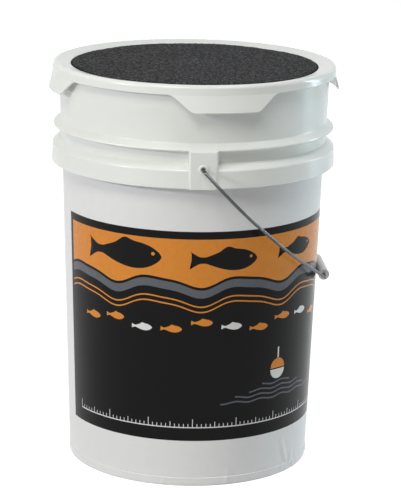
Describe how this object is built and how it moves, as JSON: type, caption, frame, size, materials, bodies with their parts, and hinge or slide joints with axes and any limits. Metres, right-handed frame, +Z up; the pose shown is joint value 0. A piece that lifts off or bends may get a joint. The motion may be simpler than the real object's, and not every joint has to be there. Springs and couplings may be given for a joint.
{
  "type": "live-bait bucket with seat",
  "caption": "Tall plastic live-bait pail with a swinging wire bail, a lift-out foam liner with its own lid, and a press-on lid that carries a padded seat.",
  "frame": {"origin": "centre of the pail's foot, on the floor", "axes": "+Z up; the ears and the bail's pivots lie on the Y axis, and the bail hangs down on the +X side"},
  "size_m": [0.3232, 0.3706, 0.4518],
  "materials": {
    "pail_plastic": "satin",
    "printed_film": "satin",
    "zinc_wire": "satin",
    "grip_plastic": "satin",
    "lid_plastic": "satin",
    "pad_foam": "matte",
    "pad_fabric": "matte",
    "liner_foam": "matte"
  },
  "bodies": {
    "pail": {"pail": "pail_plastic", "film_sleeve": "printed_film"},
    "liner": {"foam_liner": "liner_foam", "liner_rim": "liner_foam"},
    "liner_lid": {"liner_lid": "liner_foam"},
    "seat_lid": {"seat_lid": "lid_plastic", "seat_foam": "pad_foam", "seat_cover": "pad_fabric"},
    "bail": {"bail_wire": "zinc_wire"},
    "grip": {"bail_grip": "grip_plastic"}
  },
  "joints": [
    {"name": "bail_swing", "type": "hinge", "parent": "pail", "child": "bail", "pos_m": [0, 0, 0.3613], "axis": [0, -1, 0], "range_deg": [0, 269.58]},
    {"name": "grip_spin", "type": "hinge", "parent": "bail", "child": "grip", "pos_m": [0.1486, 0.0045, 0.21377], "axis": [0, 1, 0], "continuous": true},
    {"name": "liner_lift", "type": "slide", "parent": "pail", "child": "liner", "axis": [0, 0, 1], "range_m": [0, 0.46]},
    {"name": "liner_lid_lift", "type": "slide", "parent": "liner", "child": "liner_lid", "axis": [0, 0, 1], "range_m": [0, 0.2]},
    {"name": "seat_lid_lift", "type": "slide", "parent": "liner_lid", "child": "seat_lid", "axis": [0, 0, 1], "range_m": [0, 0.2]}
  ]
}
